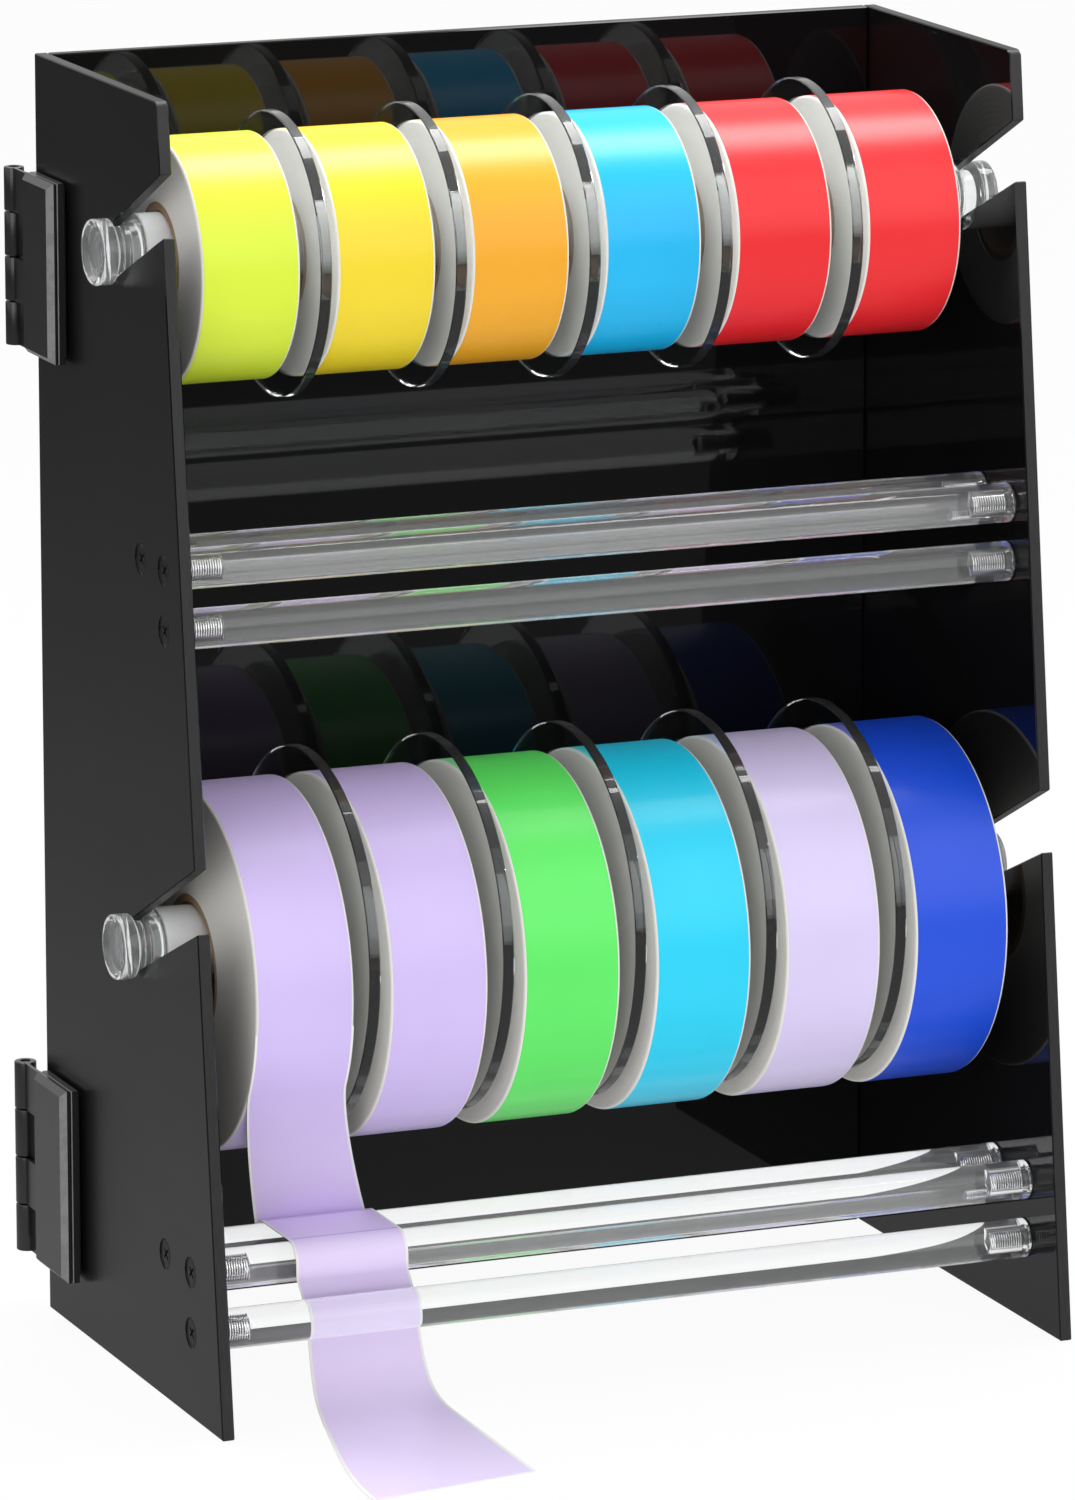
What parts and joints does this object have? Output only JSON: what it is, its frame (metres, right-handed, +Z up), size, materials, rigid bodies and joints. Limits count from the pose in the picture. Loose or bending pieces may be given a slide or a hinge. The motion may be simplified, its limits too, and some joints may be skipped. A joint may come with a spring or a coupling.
{
  "type": "sticker roll dispenser",
  "caption": "Tiered open counter rack of black acrylic whose lift-out clear spindles carry rolls of coloured label tape, with clear divider discs, guide rods and folding side hinges.",
  "frame": {"origin": "centre of the back panel's bottom face, on the surface that the rack stands on", "axes": "+Z up, +Y out of the back face, -Y out of the open front, +X to the rack's right seen from the front"},
  "size_m": [0.2972, 0.2419, 0.4],
  "materials": {
    "black_acrylic": "polished cast black acrylic sheet",
    "clear_acrylic": "polished clear acrylic",
    "spindle_acrylic": "milky acrylic tube",
    "screw_metal": "black oxide steel",
    "hinge_metal": "satin black painted metal",
    "hinge_pad": "black foam mounting pad",
    "core_board": "kraft board core",
    "lime_tape": "satin label tape on white liner",
    "yellow_tape": "satin label tape on white liner",
    "orange_tape": "satin label tape on white liner",
    "sky_blue_tape": "satin label tape on white liner",
    "red_tape": "satin label tape on white liner",
    "lavender_tape": "satin label tape on white liner",
    "green_tape": "satin label tape on white liner",
    "cyan_tape": "satin label tape on white liner",
    "pale_lavender_tape": "satin label tape on white liner",
    "royal_blue_tape": "satin label tape on white liner"
  },
  "bodies": {
    "frame": {"left_side_panel": "black_acrylic", "right_side_panel": "black_acrylic", "back_panel": "black_acrylic", "upper_rear_rod": "clear_acrylic", "upper_front_top_rod": "clear_acrylic", "upper_front_low_rod": "clear_acrylic", "lower_rear_rod": "clear_acrylic", "lower_front_top_rod": "clear_acrylic", "lower_front_low_rod": "clear_acrylic", "upper_rear_left_screw": "screw_metal", "upper_rear_right_screw": "screw_metal", "upper_front_top_left_screw": "screw_metal", "upper_front_top_right_screw": "screw_metal", "upper_front_low_left_screw": "screw_metal", "upper_front_low_right_screw": "screw_metal", "lower_rear_left_screw": "screw_metal", "lower_rear_right_screw": "screw_metal", "lower_front_top_left_screw": "screw_metal", "lower_front_top_right_screw": "screw_metal", "lower_front_low_left_screw": "screw_metal", "lower_front_low_right_screw": "screw_metal", "upper_hinge_fixed_leaf": "hinge_metal", "upper_hinge_pin": "hinge_metal", "upper_hinge_pad": "hinge_pad", "lower_hinge_fixed_leaf": "hinge_metal", "lower_hinge_pin": "hinge_metal", "lower_hinge_pad": "hinge_pad", "loose_strip": "lavender_tape"},
    "upper_lift_out": {"upper_divider_1": "clear_acrylic", "upper_divider_2": "clear_acrylic", "upper_divider_3": "clear_acrylic", "upper_divider_4": "clear_acrylic", "upper_divider_5": "clear_acrylic"},
    "upper_spindle": {"upper_spindle_tube": "spindle_acrylic", "upper_left_knob": "clear_acrylic", "upper_right_knob": "clear_acrylic"},
    "upper_roll_1": {"upper_roll_1": "lime_tape"},
    "upper_roll_2": {"upper_roll_2": "yellow_tape"},
    "upper_roll_3": {"upper_roll_3": "orange_tape"},
    "upper_roll_4": {"upper_roll_4": "sky_blue_tape"},
    "upper_roll_5": {"upper_roll_5": "red_tape"},
    "upper_roll_6": {"upper_roll_6": "red_tape"},
    "lower_lift_out": {"lower_divider_1": "clear_acrylic", "lower_divider_2": "clear_acrylic", "lower_divider_3": "clear_acrylic", "lower_divider_4": "clear_acrylic", "lower_divider_5": "clear_acrylic"},
    "lower_spindle": {"lower_spindle_tube": "spindle_acrylic", "lower_left_knob": "clear_acrylic", "lower_right_knob": "clear_acrylic"},
    "lower_roll_1": {"lower_roll_1": "lavender_tape"},
    "lower_roll_2": {"lower_roll_2": "lavender_tape"},
    "lower_roll_3": {"lower_roll_3": "green_tape"},
    "lower_roll_4": {"lower_roll_4": "cyan_tape"},
    "lower_roll_5": {"lower_roll_5": "pale_lavender_tape"},
    "lower_roll_6": {"lower_roll_6": "royal_blue_tape"},
    "upper_free_leaf": {"upper_hinge_free_leaf": "hinge_metal"},
    "lower_free_leaf": {"lower_hinge_free_leaf": "hinge_metal"}
  },
  "joints": [
    {"name": "upper_lift", "type": "slide", "parent": "frame", "child": "upper_lift_out", "axis": [0, -0.9074, 0.4202], "range_m": [0, 0.09]},
    {"name": "upper_spindle_spin", "type": "hinge", "parent": "upper_lift_out", "child": "upper_spindle", "pos_m": [0, -0.0675, 0.3493], "axis": [1, 0, 0], "continuous": true},
    {"name": "upper_roll_1_spin", "type": "hinge", "parent": "upper_lift_out", "child": "upper_roll_1", "pos_m": [-0.1112, -0.0675, 0.34535], "axis": [1, 0, 0], "continuous": true},
    {"name": "upper_roll_2_spin", "type": "hinge", "parent": "upper_lift_out", "child": "upper_roll_2", "pos_m": [-0.0676, -0.0675, 0.34535], "axis": [1, 0, 0], "continuous": true},
    {"name": "upper_roll_3_spin", "type": "hinge", "parent": "upper_lift_out", "child": "upper_roll_3", "pos_m": [-0.024, -0.0675, 0.34535], "axis": [1, 0, 0], "continuous": true},
    {"name": "upper_roll_4_spin", "type": "hinge", "parent": "upper_lift_out", "child": "upper_roll_4", "pos_m": [0.0196, -0.0675, 0.34535], "axis": [1, 0, 0], "continuous": true},
    {"name": "upper_roll_5_spin", "type": "hinge", "parent": "upper_lift_out", "child": "upper_roll_5", "pos_m": [0.0632, -0.0675, 0.34535], "axis": [1, 0, 0], "continuous": true},
    {"name": "upper_roll_6_spin", "type": "hinge", "parent": "upper_lift_out", "child": "upper_roll_6", "pos_m": [0.1068, -0.0675, 0.34535], "axis": [1, 0, 0], "continuous": true},
    {"name": "lower_lift", "type": "slide", "parent": "frame", "child": "lower_lift_out", "axis": [0, -0.9074, 0.4202], "range_m": [0, 0.09], "deforming": ["loose_strip"]},
    {"name": "lower_spindle_spin", "type": "hinge", "parent": "lower_lift_out", "child": "lower_spindle", "pos_m": [0, -0.0797, 0.1368], "axis": [1, 0, 0], "continuous": true},
    {"name": "lower_roll_1_spin", "type": "hinge", "parent": "lower_lift_out", "child": "lower_roll_1", "pos_m": [-0.1072, -0.0797, 0.1281], "axis": [1, 0, 0], "continuous": true},
    {"name": "lower_roll_2_spin", "type": "hinge", "parent": "lower_lift_out", "child": "lower_roll_2", "pos_m": [-0.0636, -0.0797, 0.1281], "axis": [1, 0, 0], "continuous": true},
    {"name": "lower_roll_3_spin", "type": "hinge", "parent": "lower_lift_out", "child": "lower_roll_3", "pos_m": [-0.02, -0.0797, 0.1281], "axis": [1, 0, 0], "continuous": true},
    {"name": "lower_roll_4_spin", "type": "hinge", "parent": "lower_lift_out", "child": "lower_roll_4", "pos_m": [0.0236, -0.0797, 0.1281], "axis": [1, 0, 0], "continuous": true},
    {"name": "lower_roll_5_spin", "type": "hinge", "parent": "lower_lift_out", "child": "lower_roll_5", "pos_m": [0.0672, -0.0797, 0.1281], "axis": [1, 0, 0], "continuous": true},
    {"name": "lower_roll_6_spin", "type": "hinge", "parent": "lower_lift_out", "child": "lower_roll_6", "pos_m": [0.1108, -0.0797, 0.1281], "axis": [1, 0, 0], "continuous": true},
    {"name": "upper_hinge_swing", "type": "hinge", "parent": "frame", "child": "upper_free_leaf", "pos_m": [-0.1454, 0.0116, 0.336], "axis": [0, 0, -1], "range_deg": [0, 180]},
    {"name": "lower_hinge_swing", "type": "hinge", "parent": "frame", "child": "lower_free_leaf", "pos_m": [-0.1454, 0.0116, 0.048], "axis": [0, 0, -1], "range_deg": [0, 180]}
  ]
}
